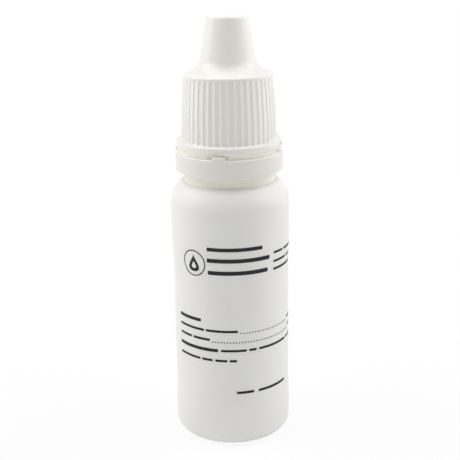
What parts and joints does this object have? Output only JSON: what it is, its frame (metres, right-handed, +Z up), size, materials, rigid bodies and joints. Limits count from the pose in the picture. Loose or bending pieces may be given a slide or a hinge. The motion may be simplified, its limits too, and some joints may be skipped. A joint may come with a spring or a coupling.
{
  "type": "eye drop bottle",
  "caption": "Squeeze dropper bottle for eye drops: round body, pressed-in dropper nozzle, ribbed screw cap with a tall tower, and a loose tamper ring under it.",
  "frame": {"origin": "centre of the bottle's base, on the surface that it stands on", "axes": "+Z up along the bottle's axis, -Y towards the printed front that the camera sees"},
  "size_m": [0.022, 0.022, 0.0793],
  "materials": {
    "bottle": "semi-matte white low-density polyethylene",
    "dropper": "smooth soft natural-white polyethylene",
    "cap": "satin white polypropylene",
    "print": "flat black printing ink"
  },
  "bodies": {
    "bottle": {"bottle_body": "bottle", "dropper_insert": "dropper"},
    "ring": {"tamper_ring": "cap"},
    "closure": {"cap": "cap"}
  },
  "joints": [
    {"name": "cap_turn", "type": "hinge", "parent": "bottle", "child": "ring", "pos_m": [0, 0, 0.0535], "axis": [0, 0, 1], "range_deg": [0, 2880]},
    {"name": "cap_lift", "type": "slide", "parent": "ring", "child": "closure", "axis": [0, 0, 1], "range_m": [0, 0.02]}
  ],
  "couplings": [
    {"joint": "cap_lift", "follows": "cap_turn", "m_per_rad": 0.00039789}
  ]
}
